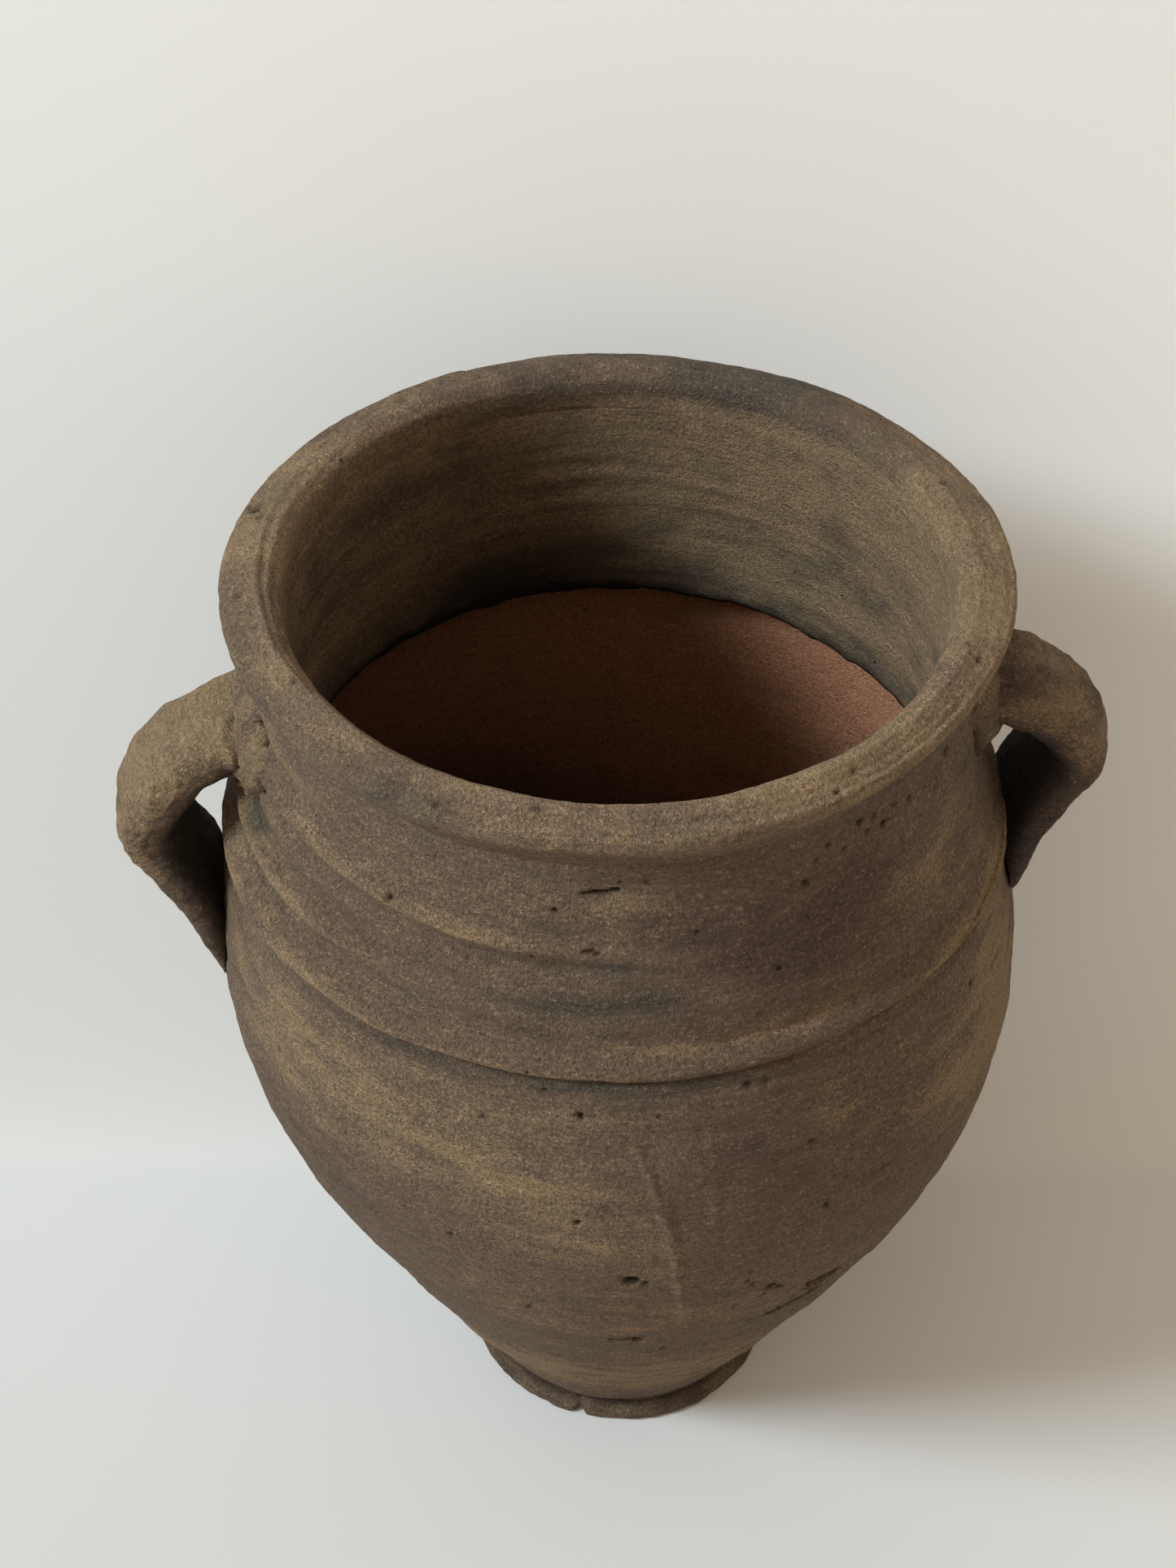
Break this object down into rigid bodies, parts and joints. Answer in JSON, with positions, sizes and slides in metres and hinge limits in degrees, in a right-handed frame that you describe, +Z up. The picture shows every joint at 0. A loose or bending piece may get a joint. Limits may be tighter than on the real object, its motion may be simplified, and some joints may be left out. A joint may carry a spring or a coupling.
{
  "type": "olive jar",
  "caption": "Tall open olive jar of coarse fired clay on a narrow foot, with a wide belly, a collar neck, a rolled lip and a strap handle on each side.",
  "frame": {"origin": "middle of the round resting face under the foot, on the jar's turning axis", "axes": "+Z up along the turning axis, +X towards the right handle in the picture, -Y towards the camera"},
  "size_m": [0.2639, 0.2274, 0.326],
  "materials": {
    "foot_clay": "matt fired clay, sooty and chipped",
    "wall_clay": "matt coarse fired clay, brown with ochre patches",
    "collar_clay": "matt coarse fired clay, sandy ochre over grey brown",
    "lip_clay": "matt sandy fired clay, rubbed smoother",
    "handle_clay": "matt coarse fired clay, pulled by hand",
    "wad_clay": "matt fired clay, crumbly at its edge"
  },
  "bodies": {
    "root": {"foot_disc": "foot_clay", "base_cone": "wall_clay", "belly": "wall_clay", "neck_collar": "collar_clay", "rim_band": "lip_clay", "handle_left": "handle_clay", "handle_right": "handle_clay", "root_wad_left": "wad_clay", "root_wad_right": "wad_clay"}
  },
  "joints": []
}
